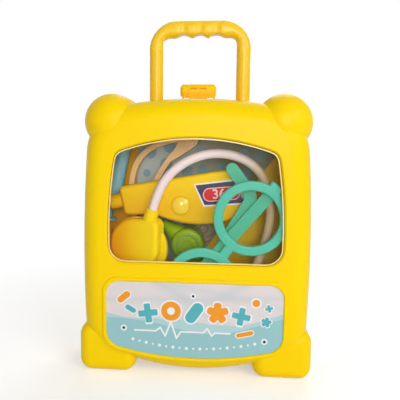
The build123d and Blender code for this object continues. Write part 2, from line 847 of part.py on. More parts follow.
yoke_start = tube_points[-1] + tube_end * stem_length
across = Vector(0, 1, 0).cross(tube_end).normalized()
yoke_points = [
    yoke_start + across * yoke_half_width + tube_end * yoke_arm,
    yoke_start + across * yoke_half_width,
    yoke_start - across * yoke_half_width,
    yoke_start - across * yoke_half_width + tube_end * yoke_arm,
]
with BuildPart() as headset:
    with BuildLine():
        FilletPolyline(*yoke_points, radius=yoke_bend)
    with BuildSketch(Plane(yoke_points[0], z_dir=-tube_end)):
        Circle(yoke_radius)
    sweep()
    with BuildSketch(Plane(tube_points[-1], z_dir=tube_end)):
        Circle(stem_radius)
    extrude(amount=stem_length)
write(headset.part, "stethoscope_headset")

with BuildPart() as ear_tips:
    for end in (yoke_points[0], yoke_points[-1]):
        with BuildSketch(Plane(end, z_dir=tube_end)):
            Circle(ear_tip_radius)
        extrude(amount=ear_tip_length)
    fillet(ear_tips.edges(), ear_tip_radius - yoke_radius)
write(ear_tips.part, "stethoscope_ear_tips")

# ---------------------------------------------------------------- thermometer
thermometer_front = pane_back + thermometer_behind_pane
with BuildSketch() as thermometer_outline:
    with BuildLine():
        Line(thermometer_left_top, thermometer_right_top)
        ThreePointArc(thermometer_right_top, thermometer_right, thermometer_right_bottom)
        ThreePointArc(thermometer_right_bottom, thermometer_belly, thermometer_left_bottom)
        Line(thermometer_left_bottom, thermometer_end_bottom)
        Line(thermometer_end_bottom, thermometer_left_top)
    make_face()
    fillet(thermometer_outline.vertices(), thermometer_corner)

thermometer_middle = (thermometer_front + thermometer_back) / 2
end_top = Vector(thermometer_left_top[0], 0, thermometer_left_top[1])
end_bottom = Vector(thermometer_end_bottom[0], 0, thermometer_end_bottom[1])
probe_base = (end_top + end_bottom) / 2 + Vector(0, thermometer_middle, 0)
probe_plane = Plane(probe_base, x_dir=(0, 1, 0), z_dir=Vector(0, 1, 0).cross(end_bottom - end_top))
well_radius = button_radius + button_gap
well_depth = button_depth - button_rise + button_travel + button_floor_gap


def thermometer_half(front, back, outer):
    """One moulded half of the thermometer, hollow towards the split; outer is -1 in front, 1 behind."""
    with BuildPart() as half:
        with BuildSketch(depth_plane(back)):
            add(thermometer_outline.sketch)
        extrude(amount=back - front)
        fillet(half.faces().sort_by(Axis.Y)[0 if outer < 0 else -1].edges(), thermometer_edge)
        with BuildSketch(depth_plane(back - (thermometer_wall if outer > 0 else 0))):
            add(thermometer_outline.sketch)
            offset(amount=-thermometer_wall)
        extrude(amount=back - front - thermometer_wall, mode=Mode.SUBTRACT)
    return half.part


with BuildPart() as thermometer_shell:
    add(thermometer_half(thermometer_front, thermometer_middle - thermometer_split / 2, -1))
    with BuildSketch(depth_plane(thermometer_front + well_depth + button_well_wall)):
        with Locations(button_centre):
            Circle(well_radius + button_well_wall)
    extrude(amount=well_depth)
    with BuildSketch(depth_plane(thermometer_front + well_depth)):
        with Locations(button_centre):
            Circle(well_radius)
    extrude(amount=well_depth, mode=Mode.SUBTRACT)
    with BuildSketch(depth_plane(thermometer_front + display_sink)):
        Polygon(*display_corners, align=None)
    extrude(amount=display_sink, mode=Mode.SUBTRACT)
    with BuildSketch(probe_plane):
        Circle(probe_spigot_radius)
    extrude(amount=-probe_spigot_length, mode=Mode.SUBTRACT)
write(thermometer_shell.part, "thermometer_front")

with BuildPart() as thermometer_rear:
    add(thermometer_half(thermometer_middle + thermometer_split / 2, thermometer_back, 1))
    with BuildSketch(probe_plane):
        Circle(probe_spigot_radius)
    extrude(amount=-probe_spigot_length, mode=Mode.SUBTRACT)
write(thermometer_rear.part, "thermometer_back")

with BuildPart() as probe:
    with BuildSketch(probe_plane):
        Circle(probe_radius)
    extrude(amount=probe_length)
    fillet(probe.faces().sort_by(Axis(probe_plane.origin, probe_plane.z_dir))[-1].edges(), probe_edge)
    with BuildSketch(probe_plane):
        Circle(probe_spigot_radius)
    extrude(amount=-probe_spigot_length)
write(probe.part, "thermometer_probe")

with BuildPart() as display:
    with BuildSketch(depth_plane(thermometer_front + display_sink)):
        Polygon(*display_corners, align=None)
    extrude(amount=display_thickness)
write(display.part, "thermometer_display")

with BuildPart() as button:
    with BuildSketch(depth_plane(thermometer_front + button_depth - button_rise)):
        with Locations(button_centre):
            Circle(button_radius)
    extrude(amount=button_depth)
    dome_radius = (button_radius**2 + button_rise**2) / (2 * button_rise)
    with Locations((button_centre[0], thermometer_front - button_rise + dome_radius, button_centre[1])):
        Sphere(dome_radius, mode=Mode.INTERSECT)
write(button.part, "thermometer_button")

# ---------------------------------------------------------------- glasses
lean = radians(glasses_turn)
glasses_x = (cos(lean), 0, sin(lean))


def glasses_plane(y):
    """Plane of the glasses at depth y, local X along the row of rims; it extrudes to the front."""
    return Plane((glasses_centre[0], y, glasses_centre[1]), x_dir=glasses_x, z_dir=(0, -1, 0))


def temple_depth(layer):
    """Depth of the middle of a folded temple; layer 0 lies against the rims, layer 1 behind it."""
    return frame_back + temple_gap + temple_thickness / 2 + layer * (temple_thickness + temple_gap)


def temple_axis(side, layer, radius, length):
    """Bar along the pivot axis of one temple."""
    plane = glasses_plane(temple_depth(layer))
    middle = plane.from_local_coords((side * temple_pivot[0], temple_pivot[1], 0))
    with BuildPart() as axis:
        with BuildSketch(Plane(middle, x_dir=(0, 1, 0), z_dir=plane.y_dir)):
            Circle(radius)
        extrude(amount=length / 2, both=True)
    return axis.part


frame_back = pane_back + glasses_behind_pane + rim_thickness
with BuildPart() as glasses_frame:
    with BuildSketch(glasses_plane(frame_back)):
        with Locations((-rim_spacing / 2, 0), (rim_spacing / 2, 0)):
            Circle(rim_outer)
        Rectangle(bridge_length, bridge_height)
        with Locations((-temple_pivot[0], temple_pivot[1]), (temple_pivot[0], temple_pivot[1])):
            Rectangle(4 * lug_half_length, 2 * lug_half_height)
        with Locations((-rim_spacing / 2, 0), (rim_spacing / 2, 0)):
            Circle(rim_inner, mode=Mode.SUBTRACT)
    extrude(amount=rim_thickness)
    fillet(glasses_frame.faces().sort_by(Axis.Y)[0].edges(), rim_edge)
    for side, layer in ((1, 0), (-1, 1)):
        ear_reach = temple_depth(layer) + temple_thickness / 2 - frame_back
        with BuildSketch(glasses_plane(frame_back)):
            with Locations((side * temple_pivot[0], temple_pivot[1])):
                Rectangle(2 * lug_half_length, 2 * lug_half_height)
                Rectangle(2 * lug_half_length, 2 * lug_slot_half, mode=Mode.SUBTRACT)
        extrude(amount=-ear_reach)
        add(temple_axis(side, layer, temple_pin_radius, 2 * lug_half_height), mode=Mode.SUBTRACT)
write(glasses_frame.part, "glasses_frame")


def make_temple(side, layer, name):
    """Side arm of the glasses: a tongue between the lugs, a straight arm and a hook for the ear."""
    start = (side * (temple_pivot[0] - lug_half_length - temple_shoulder_gap), temple_pivot[1])
    knee = (side * temple_knee[0], temple_knee[1])
    tip = (side * temple_tip[0], temple_tip[1])
    tongue_length = 2 * lug_half_length + temple_half_width
    with BuildPart() as temple:
        with BuildSketch(glasses_plane(temple_depth(layer) + temple_thickness / 2)):
            with BuildLine():
                FilletPolyline(start, knee, tip, radius=temple_knee_radius)
            trace(line_width=2 * temple_half_width)
            with Locations(tip):
                Circle(temple_half_width)
            tongue_middle = side * (temple_pivot[0] + lug_half_length - tongue_length / 2)
            with Locations((tongue_middle, temple_pivot[1])):
                Rectangle(tongue_length, 2 * tongue_half_height)
        extrude(amount=temple_thickness)
        bore = temple_axis(side, layer, temple_pin_radius + running_gap, 2 * lug_slot_half)
        add(bore, mode=Mode.SUBTRACT)
    write(temple.part, name)


make_temple(1, 0, "glasses_temple_right")
make_temple(-1, 1, "glasses_temple_left")

with BuildPart() as glasses_pins:
    for side, layer in ((1, 0), (-1, 1)):
        add(temple_axis(side, layer, temple_pin_radius, 2 * lug_half_height))
write(glasses_pins.part, "glasses_hinge_pins")

# ---------------------------------------------------------------- otoscope
otoscope_front = pane_back + otoscope_behind_pane
otoscope_middle = otoscope_front + otoscope_cone_behind
with BuildPart() as otoscope_body:
    with BuildSketch(depth_plane(otoscope_back)):
        with Locations(otoscope_centre):
            Circle(otoscope_radius)
    extrude(amount=otoscope_back - otoscope_front)
    fillet(otoscope_body.faces().filter_by(Axis.Y).edges(), otoscope_edge)
    with BuildSketch(depth_plane(otoscope_front)):
        with Locations(otoscope_centre):
            Circle(otoscope_boss_radius)
    extrude(amount=otoscope_boss)
    handle_start = Vector(otoscope_centre[0], otoscope_handle_y, otoscope_centre[1])
    handle_end = Vector(otoscope_handle_end[0], otoscope_handle_y, otoscope_handle_end[1])
    with BuildSketch(Plane(handle_start, x_dir=(0, 1, 0), z_dir=handle_end - handle_start)):
        Circle(otoscope_handle_radius)
    extrude(amount=(handle_end - handle_start).length + otoscope_handle_radius)
    fillet(otoscope_body.edges().sort_by(Axis(handle_end, handle_end - handle_start))[-1], otoscope_edge)
write(otoscope_body.part, "otoscope_body")

cone_origin = Vector(otoscope_centre[0], otoscope_middle, otoscope_centre[1])
cone_end = Vector(cone_tip[0], otoscope_middle, cone_tip[1])
cone_plane = Plane(cone_origin, x_dir=(0, 1, 0), z_dir=cone_end - cone_origin)
with BuildPart() as cone:
    with BuildSketch(cone_plane.offset(cone_start)):
        Circle(cone_base_radius)
    with BuildSketch(cone_plane.offset((cone_end - cone_origin).length)):
        Circle(cone_tip_radius)
    loft()
    add(otoscope_body.part, mode=Mode.SUBTRACT)
write(cone.part, "otoscope_cone")

# ---------------------------------------------------------------- syringe
syringe_axis = (sin(radians(syringe_lean)), 0, cos(radians(syringe_lean)))
syringe_across = (cos(radians(syringe_lean)), 0, -sin(radians(syringe_lean)))
syringe_plane = Plane(syringe_centre, x_dir=syringe_across, z_dir=syringe_axis)
with BuildPart() as syringe_barrel:
    with BuildSketch(syringe_plane.offset(barrel_bottom)):
        Circle(barrel_radius)
    extrude(amount=barrel_top - barrel_bottom)
    with BuildSketch(syringe_plane.offset(barrel_bottom)):
        RectangleRounded(2 * flange_half_length, 2 * flange_half_depth, flange_half_depth - 1)
    extrude(amount=flange_thickness)
    with BuildSketch(syringe_plane.offset(barrel_top)):
        Circle(nozzle_radius)
    extrude(amount=nozzle_length)
    with BuildSketch(syringe_plane.offset(barrel_bottom)):
        Circle(barrel_bore)
    extrude(amount=barrel_top - barrel_end_wall - barrel_bottom, mode=Mode.SUBTRACT)
    with BuildSketch(syringe_plane.offset(barrel_top - barrel_end_wall)):
        Circle(nozzle_bore)
    extrude(amount=barrel_end_wall + nozzle_length, mode=Mode.SUBTRACT)
write(syringe_barrel.part, "syringe_barrel")

thumb_bottom = barrel_bottom - plunger_travel - thumb_gap - thumb_thickness
with BuildPart() as syringe_plunger:
    with BuildSketch(syringe_plane.offset(piston_rest)):
        Circle(barrel_bore - piston_gap)
    extrude(amount=piston_length)
    with BuildSketch(syringe_plane.offset(thumb_bottom)):
        Circle(plunger_rod)
    extrude(amount=piston_rest - thumb_bottom)
    with BuildSketch(syringe_plane.offset(thumb_bottom)):
        Circle(thumb_radius)
    extrude(amount=thumb_thickness)
write(syringe_plunger.part, "syringe_plunger")

# ---------------------------------------------------------------- tweezers and play card
with BuildPart() as tweezers:
    with BuildSketch(depth_plane(tweezers_back)):
        for arm in (tweezers_left, tweezers_right):
            with BuildLine():
                Spline(tweezers_joint, *arm)
            trace(line_width=tweezers_width)
    extrude(amount=tweezers_back - tweezers_front)
    with BuildSketch(depth_plane(tweezers_back)):
        with Locations(tweezers_joint):
            Circle(tweezers_joint_radius)
        with Locations(tweezers_fork):
            Circle(tweezers_width / 2)
        make_hull()
    extrude(amount=tweezers_back - tweezers_front)
write(tweezers.part, "tweezers")

with BuildPart() as play_card:
    with BuildSketch(depth_plane(card_front + card_thickness)):
        with BuildLine():
            Polyline(*card_corners, close=True)
        make_face()
    extrude(amount=card_thickness)
write(play_card.part, "play_card")
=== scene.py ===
# %% [markdown]
# # Toy doctor case
#
# The case is a bear-eared clamshell of bright moulded plastic. A clear pane in its door shows the toy
# instruments inside, a printed panel sits below the pane, and a pull-up handle stands over the top.
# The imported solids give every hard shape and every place. This lesson adds the finishes, the prints,
# the soft tube of the stethoscope, the light and the camera. All lengths are in metres.

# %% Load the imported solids
import math

import bmesh
import bpy
from mathutils import Matrix, Vector


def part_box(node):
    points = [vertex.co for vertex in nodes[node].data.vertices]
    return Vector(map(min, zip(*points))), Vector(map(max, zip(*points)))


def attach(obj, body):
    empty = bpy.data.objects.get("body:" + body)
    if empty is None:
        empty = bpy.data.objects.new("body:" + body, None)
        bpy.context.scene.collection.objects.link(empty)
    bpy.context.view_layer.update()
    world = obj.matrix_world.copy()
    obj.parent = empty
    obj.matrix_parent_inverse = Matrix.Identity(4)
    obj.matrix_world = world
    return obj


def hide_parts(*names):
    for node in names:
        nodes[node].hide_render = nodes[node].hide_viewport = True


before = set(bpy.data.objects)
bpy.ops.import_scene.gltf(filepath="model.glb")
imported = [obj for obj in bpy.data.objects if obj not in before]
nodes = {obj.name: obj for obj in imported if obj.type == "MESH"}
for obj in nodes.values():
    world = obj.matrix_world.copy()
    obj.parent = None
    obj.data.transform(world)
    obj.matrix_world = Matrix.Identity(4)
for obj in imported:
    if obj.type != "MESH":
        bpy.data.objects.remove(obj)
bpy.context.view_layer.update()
print("solids loaded:", len(nodes))

# %% [markdown]
# ## Colours
#
# A colour is easiest to name the way a paint chart does, with three numbers up to 255. Blender mixes
# light in linear values, so one small helper turns chart numbers into linear ones.


# %% Turn chart colours into linear ones
def tint(red, green, blue):
    """Linear colour with full alpha from chart values between 0 and 255."""
    linear = []
    for value in (red, green, blue):
        share = value / 255
        linear.append(share / 12.92 if share <= 0.04045 else ((share + 0.055) / 1.055) ** 2.4)
    return (*linear, 1.0)


print("bright yellow:", [round(value, 3) for value in tint(253, 212, 0)])

# %% [markdown]
# ## Moulded plastic
#
# Every toy here is injection moulded. Such plastic is one colour right through, yet it is never quite
# flat: the colour drifts a little from thick to thin places, the gloss is duller where hands have
# rubbed it, and the surface has a faint orange-peel ripple. Three noise textures on Object coordinates
# give those three things, so one recipe serves every colour. The drift can also run along an axis, so
# that a piece is deeper towards one end; on some pieces that deeper end is painted shade.


# %% Small tools for node trees
def blank_material(name):
    """New material; returns it with its node tree and its Principled shader."""
    material = bpy.data.materials.new(name)
    material.use_nodes = True
    return material, material.node_tree, material.node_tree.nodes["Principled BSDF"]


def add_node(tree, kind, **inputs):
    """New node of a kind, with its input sockets set by name."""
    node = tree.nodes.new(kind)
    for socket, value in inputs.items():
        node.inputs[socket].default_value = value
    return node


def maths(tree, operation, first, second=None, third=None):
    """Math node on sockets or plain numbers; returns its result socket."""
    node = tree.nodes.new("ShaderNodeMath")
    node.operation = operation
    for socket, value in zip(node.inputs, (first, second, third)):
        if isinstance(value, bpy.types.NodeSocket):
            tree.links.new(value, socket)
        elif value is not None:
            socket.default_value = value
    return node.outputs[0]


def layer(tree, below, colour, amount):
    """Lays a colour over what is below, as much as the amount socket says; returns the new colour."""
    mix = tree.nodes.new("ShaderNodeMix")
    mix.data_type = "RGBA"
    for socket, value in ((mix.inputs[6], below), (mix.inputs[7], colour)):
        if isinstance(value, bpy.types.NodeSocket):
            tree.links.new(value, socket)
        else:
            socket.default_value = value
    tree.links.new(amount, mix.inputs[0])
    return mix.outputs[2]


def rescale(tree, value, start, end, low=0.0, high=1.0, kind="LINEAR"):
    """Goes from low to high while the value goes from start to end, and stays there beyond them."""
    span = tree.nodes.new("ShaderNodeMapRange")
    span.interpolation_type = kind
    for socket, number in zip(("From Min", "From Max", "To Min", "To Max"), (start, end, low, high)):
        span.inputs[socket].default_value = number
    tree.links.new(value, span.inputs["Value"])
    return span.outputs["Result"]


# %% Small tools that read a point's place
def object_place(tree):
    """Object coordinates: the place of a point on its own piece, whatever the piece does."""
    return tree.nodes.new("ShaderNodeTexCoord").outputs["Object"]


def object_axes(tree):
    """Object coordinates taken apart into their X, Y and Z."""
    split = tree.nodes.new("ShaderNodeSeparateXYZ")
    tree.links.new(object_place(tree), split.inputs[0])
    return split.outputs


def along(tree, axis, start, end):
    """0 to 1 as a point goes from start to end along one of the Object axes."""
    return rescale(tree, object_axes(tree)[axis], start, end, kind="SMOOTHSTEP")


def object_noise(tree, scale, detail, roughness=0.5):
    """Noise texture that reads Object coordinates; scale is in ripples per metre."""
    noise = add_node(tree, "ShaderNodeTexNoise", Scale=scale, Detail=detail, Roughness=roughness)
    tree.links.new(object_place(tree), noise.inputs["Vector"])
    return noise.outputs["Fac"]


# %% Sizes in moulded plastic
drift_per_metre = 14
rubs_per_metre = 55
peel_per_metre = 420
peel_height = 0.0006
run_share = 0.8
glow_reach = (0.004, 0.002, 0.001)
print("orange peel every", round(1000 / peel_per_metre, 1), "mm")


# %% Recipe for moulded plastic
def moulded_plastic(name, light, deep, gloss=(0.28, 0.42), shine=0.3, coat=0.05, clarity=0.0, run=None):
    """Plastic that drifts from light to deep; run is an axis, its light place and its deep place."""
    material, tree, shader = blank_material(name)
    drift = object_noise(tree, drift_per_metre, detail=3)
    if run:
        far_along = maths(tree, "MULTIPLY", along(tree, *run), run_share)
        drift = maths(tree, "MULTIPLY_ADD", drift, 1 - run_share, far_along)
    tree.links.new(layer(tree, light, deep, drift), shader.inputs["Base Color"])
    rubs = object_noise(tree, rubs_per_metre, detail=6, roughness=0.65)
    polish = rescale(tree, rubs, 0.3, 0.7, low=gloss[0], high=gloss[1])
    tree.links.new(polish, shader.inputs["Roughness"])
    peel = add_node(tree, "ShaderNodeBump", Strength=0.05, Distance=peel_height)
    tree.links.new(object_noise(tree, peel_per_metre, detail=2), peel.inputs["Height"])
    tree.links.new(peel.outputs["Normal"], shader.inputs["Normal"])
    shader.inputs["Specular IOR Level"].default_value = shine
    shader.inputs["Coat Weight"].default_value = coat
    shader.inputs["Coat Roughness"].default_value = 0.12
    shader.inputs["Subsurface Weight"].default_value = clarity
    shader.inputs["Subsurface Radius"].default_value = glow_reach
    shader.inputs["Subsurface Scale"].default_value = 1.0
    return material


# %% Plastics of the case
case_yellow = moulded_plastic("case_yellow", tint(253, 218, 0), tint(251, 209, 0), shine=0.1, coat=0.03)
handle_yellow = moulded_plastic(
    "handle_yellow", tint(250, 208, 26), tint(242, 190, 10), gloss=(0.22, 0.34), shine=0.3, coat=0.04
)
# Latch: deeper orange towards its lower edge, painted shade on the tongue below its top.
latch_yellow = moulded_plastic(
    "latch_yellow", tint(253, 206, 0), tint(250, 178, 0), shine=0.1, coat=0.0, run=("Z", 0.2325, 0.2265)
)
# Inside of the case: its deep orange, darkening towards the left, is painted shade of the closed box.
inside_yellow_painted_shade = moulded_plastic(
    "inside_yellow_painted_shade",
    tint(255, 214, 24),
    tint(246, 176, 0),
    gloss=(0.4, 0.55),
    shine=0.2,
    run=("X", 0.055, -0.02),
)
wheel_teal = moulded_plastic("wheel_teal", tint(96, 196, 186), tint(80, 180, 172), gloss=(0.4, 0.6))
pale_grey = moulded_plastic("pale_grey", tint(226, 226, 222), tint(214, 214, 210), gloss=(0.4, 0.55))
print("plastics of the case:", len(bpy.data.materials))

# %% Plastics of the toys
# Chest piece: orange towards the left, painted shade of the side turned away from the light.
bell_orange = moulded_plastic(
    "bell_orange", tint(255, 224, 0), tint(255, 166, 0), shine=0.12, clarity=0.1, run=("X", -0.038, -0.074)
)
thermometer_yellow = moulded_plastic(
    "thermometer_yellow", tint(251, 213, 4), tint(234, 180, 0), shine=0.14, run=("Z", 0.166, 0.130)
)
button_yellow = moulded_plastic(
    "button_yellow", tint(252, 214, 20), tint(246, 202, 8), gloss=(0.1, 0.2), shine=0.7
)
mint_green = moulded_plastic("mint_green", tint(88, 200, 174), tint(66, 184, 156), gloss=(0.2, 0.32))
# Temples: a darker copy of the frame's green, painted shade of the arms that lie further back.
temple_green_painted_shade = moulded_plastic("temple_green_painted_shade", tint(76, 186, 150), tint(58, 168, 132), gloss=(0.3, 0.4))
lime_green = moulded_plastic(
    "lime_green", tint(140, 172, 0), tint(98, 136, 0), gloss=(0.24, 0.36), run=("Z", 0.120, 0.094)
)
# Otoscope cone: a lighter copy of the otoscope's green, painted light that offsets the thermometer's
# shadow on it.
cone_green_painted_light = moulded_plastic("cone_green_painted_light", tint(164, 200, 10), tint(132, 172, 0), gloss=(0.24, 0.36))
syringe_blue = moulded_plastic("syringe_blue", tint(150, 206, 222), tint(130, 192, 212), clarity=0.2)
peach_plastic = moulded_plastic("peach_plastic", tint(246, 204, 142), tint(240, 190, 122), clarity=0.1)
display_purple = moulded_plastic("display_purple", tint(62, 46, 84), tint(52, 38, 72), gloss=(0.2, 0.3))
soft_vinyl = moulded_plastic(
    "soft_vinyl", tint(248, 230, 234), tint(214, 182, 132), gloss=(0.34, 0.48), run=("X", 0.030, 0.058)
)
print("plastics in all:", len(bpy.data.materials))

# %% [markdown]
# ## Steel pins and screws
#
# The hinge pins, axles and screws are drawn steel. Fine grooves run along them from the die, so their
# gloss is stretched noise. The Mapping node packs it tightly across the wire and loosely along X, the
# way that most of the pins lie.

# %% Drawn steel
marks_per_metre = (40, 2400, 2400)
pin_steel, steel_tree, steel_shader = blank_material("pin_steel")
steel_shader.inputs["Metallic"].default_value = 1.0
steel_shader.inputs["Base Color"].default_value = tint(196, 196, 198)
squeeze = add_node(steel_tree, "ShaderNodeMapping", Scale=marks_per_metre)
marks = add_node(steel_tree, "ShaderNodeTexNoise", Scale=1.0, Detail=4)
steel_tree.links.new(object_place(steel_tree), squeeze.inputs["Vector"])
steel_tree.links.new(squeeze.outputs["Vector"], marks.inputs["Vector"])
steel_polish = rescale(steel_tree, marks.outputs["Fac"], 0, 1, low=0.22, high=0.48)
steel_tree.links.new(steel_polish, steel_shader.inputs["Roughness"])
print("steel nodes:", len(steel_tree.nodes))

# %% [markdown]
# ## The clear pane
#
# The window is a thin sheet of clear styrene. A sheet this thin bends light so little that an alpha
# value shows it well, and light still falls through it onto the toys. Its faint haze is warm, because
# the yellow case lights it from the edge, and its gloss stays sharp, with a few dull rubs.

# %% Clear styrene
clear_pane, pane_tree, pane_shader = blank_material("clear_pane")
pane_shader.inputs["Base Color"].default_value = tint(190, 180, 130)
pane_shader.inputs["Alpha"].default_value = 0.02
pane_shader.inputs["Specular IOR Level"].default_value = 0.8
pane_rubs = object_noise(pane_tree, 36, detail=6, roughness=0.7)
pane_polish = rescale(pane_tree, pane_rubs, 0.45, 0.75, low=0.04, high=0.25)
pane_tree.links.new(pane_polish, pane_shader.inputs["Roughness"])
print("pane nodes:", len(pane_tree.nodes))

# %% [markdown]
# ## The printed panel
#
# A glossy sticker fills the recess on the door. Its print is a plain pattern: a pale ground with soft
# slanting streaks, and two waves of water blue along the foot that rise to both sides. The waves are
# drawn with arithmetic: a point is blue where its height is below a cosine of its place along X, and
# the square of that place lifts the wave towards both sides.

# %% Waves by arithmetic
edge_sharpness = 4000.0


def below_wave(tree, x, z, middle, swing, waves, shift, lift):
    """1 where z lies under a wave that rises to both sides, 0 above it, with a soft edge."""
    crest = maths(tree, "COSINE", maths(tree, "MULTIPLY_ADD", x, waves, shift))
    crest = maths(tree, "MULTIPLY_ADD", crest, swing, middle)
    crest = maths(tree, "MULTIPLY_ADD", maths(tree, "MULTIPLY", x, x), lift, crest)
    edge = maths(tree, "MULTIPLY_ADD", maths(tree, "SUBTRACT", crest, z), edge_sharpness, 0.5)
    edge.node.use_clamp = True
    return edge


def streak(tree, x, z, lean, middle, half_width, strength):
    """Soft straight streak: strength at its middle line, 0 from half_width away."""
    line = maths(tree, "MULTIPLY_ADD", x, lean, middle)
    away = maths(tree, "ABSOLUTE", maths(tree, "SUBTRACT", z, line))
    fade = maths(tree, "MULTIPLY_ADD", away, -1 / half_width, 1.0)
    fade.node.use_clamp = True
    return maths(tree, "MULTIPLY", fade, strength)


# %% Print of the badge panel
badge_print, badge_tree, badge_shader = blank_material("badge_print")
badge_shader.inputs["Roughness"].default_value = 0.22
badge_shader.inputs["Specular IOR Level"].default_value = 0.3
badge_shader.inputs["Coat Weight"].default_value = 0.1
badge_x, _, badge_z = object_axes(badge_tree)
clouds = object_noise(badge_tree, 30, detail=3)
paper = layer(badge_tree, tint(228, 219, 219), tint(218, 212, 214), clouds)
for lean, middle, half_width, strength in (
    (-0.62, 0.0610, 0.0075, 0.5),
    (0.55, 0.0560, 0.0065, 0.45),
    (0.04, 0.0655, 0.0040, 0.4),
    (-0.20, 0.0740, 0.0050, 0.35),
):
    soft = streak(badge_tree, badge_x, badge_z, lean, middle, half_width, strength)
    paper = layer(badge_tree, paper, tint(190, 200, 206), soft)
for blue, middle, swing, waves, shift, lift in (
    (tint(176, 210, 214), 0.0455, 0.0026, 62.0, 0.9, 1.9),
    (tint(150, 197, 203), 0.0405, 0.0032, 55.0, 2.2, 1.7),
):
    water_share = below_wave(badge_tree, badge_x, badge_z, middle, swing, waves, shift, lift)
    paper = layer(badge_tree, paper, blue, water_share)
badge_tree.links.new(paper, badge_shader.inputs["Base Color"])
print("badge nodes:", len(badge_tree.nodes))

# %% [markdown]
# ## The play card
#
# A printed card lies at the very back of the stowed toys. It has darker dots on a blue-grey ground, which
# darkens to olive towards the right as painted shade, and a patch of curly line work whose brown is
# painted shade on the print. Voronoi cells make the dots: a point near its cell's middle is dark. Rings
# of a distorted wave, kept inside a small ball, make the curls.

# %% Dotted ground of the card
dots_per_metre = 62.0
dot_reach = 0.34
dot_strength = 0.85
card_print, card_tree, card_shader = blank_material("card_print")
card_shader.inputs["Roughness"].default_value = 0.45
dot_cells = add_node(card_tree, "ShaderNodeTexVoronoi", Scale=dots_per_metre, Randomness=0.55)
card_tree.links.new(object_place(card_tree), dot_cells.inputs["Vector"])
dots = maths(card_tree, "LESS_THAN", dot_cells.outputs["Distance"], dot_reach)
dots = maths(card_tree, "MULTIPLY", dots, dot_strength)
# Painted shade: the card's ground darkens to olive towards the right.
card_painted_shade = along(card_tree, "X", -0.03, 0.03)
card_ground = layer(card_tree, tint(178, 192, 192), tint(128, 132, 104), card_painted_shade)
card_ground = layer(card_tree, card_ground, tint(104, 156, 178), dots)
print("a dot every", round(1000 / dots_per_metre), "mm or so")

# %% Curls on the card
curl_middle = Vector((0.006, 0, 0.114))
curl_reach = 0.017
line_level = 0.62
curls = add_node(card_tree, "ShaderNodeTexWave", Scale=58, Distortion=7.0, Detail=1.5)
curls.wave_type = "RINGS"
curls.rings_direction = "Y"
curl_place = add_node(card_tree, "ShaderNodeMapping", Location=-curl_middle)
card_tree.links.new(object_place(card_tree), curl_place.inputs["Vector"])
card_tree.links.new(curl_place.outputs["Vector"], curls.inputs["Vector"])
curl_line = maths(card_tree, "GREATER_THAN", curls.outputs["Fac"], line_level)
from_middle = card_tree.nodes.new("ShaderNodeVectorMath")
from_middle.operation = "LENGTH"
card_tree.links.new(curl_place.outputs["Vector"], from_middle.inputs[0])
curl_patch = maths(card_tree, "LESS_THAN", from_middle.outputs["Value"], curl_reach)
curl_line = maths(card_tree, "MULTIPLY", curl_line, curl_patch)
# The curls are print; their brown is painted shade on that print.
card_ground = layer(card_tree, card_ground, tint(166, 112, 60), curl_line)
card_tree.links.new(card_ground, card_shader.inputs["Base Color"])
print("card nodes:", len(card_tree.nodes))

# %% [markdown]
# ## Dress the solids
#
# Each solid keeps its shape here. It only gets its finish in its material slot.


# %% Give every solid its finish
def dress(material, *names):
    """Puts one material on the named solids."""
    for name in names:
        nodes[name].data.materials.clear()
        nodes[name].data.materials.append(material)


dress(case_yellow, "front_shell", "back_shell")
dress(handle_yellow, "handle")
dress(latch_yellow, "latch")
dress(inside_yellow_painted_shade, "inner_panel")
dress(clear_pane, "window_pane")
dress(badge_print, "badge_plate")
dress(pin_steel, "hinge_pins", "latch_pin", "wheel_axles", "panel_screws", "handle_stop_screws")
dress(pin_steel, "glasses_hinge_pins")
dress(wheel_teal, "wheel_left", "wheel_right")
dress(pale_grey, "handle_stops", "stethoscope_diaphragm")
dress(bell_orange, "stethoscope_chest_piece", "stethoscope_ear_tips")
dress(soft_vinyl, "stethoscope_headset")
dress(thermometer_yellow, "thermometer_front", "thermometer_back", "thermometer_probe")
dress(button_yellow, "thermometer_button")
dress(display_purple, "thermometer_display")
dress(mint_green, "glasses_frame")
dress(temple_green_painted_shade, "glasses_temple_left", "glasses_temple_right")
dress(lime_green, "otoscope_body")
dress(cone_green_painted_light, "otoscope_cone")
dress(syringe_blue, "syringe_barrel", "syringe_plunger")
dress(peach_plastic, "tweezers")
dress(card_print, "play_card")
print("solids without a finish:", [name for name, node in nodes.items() if not node.data.materials])

# %% [markdown]
# ## Stethoscope tube
#
# The tube is soft vinyl, packed in one loop from the chest piece over the thermometer to the headset.
# A NURBS curve with a round bevel is the natural way to make it: its control points are the tube's
# route, and the spline rounds them into one smooth bend.


# %% Put an object in the scene
def bring_in(name, data):
    """New object with that data, linked to the scene."""
    made = bpy.data.objects.new(name, data)
    bpy.context.scene.collection.objects.link(made)
    return made


# %% Soft tube
tube_radius = 0.00375
route = [
    (-0.0347, -0.0264, 0.1345),
    (-0.0297, -0.0264, 0.1531),
    (-0.0146, -0.0256, 0.1705),
    (0.0072, -0.0237, 0.1805),
    (0.0293, -0.0209, 0.1798),
    (0.0484, -0.0188, 0.1700),
    (0.0592, -0.0180, 0.1517),
    (0.0608, -0.0177, 0.1280),
    (0.0562, -0.0178, 0.1050),
    (0.0482, -0.0179, 0.0835),
]
tube_curve = bpy.data.curves.new("stethoscope_hose", "CURVE")
tube_curve.dimensions = "3D"
tube_spline = tube_curve.splines.new("NURBS")
tube_spline.points.add(len(route) - 1)
for point, place in zip(tube_spline.points, route):
    point.co = (*place, 1.0)
tube_spline.order_u = 3
tube_spline.use_endpoint_u = True
tube_spline.resolution_u = 16
tube_curve.bevel_depth = tube_radius
tube_curve.bevel_resolution = 8
tube_curve.use_fill_caps = True
tube_curve.materials.append(soft_vinyl)
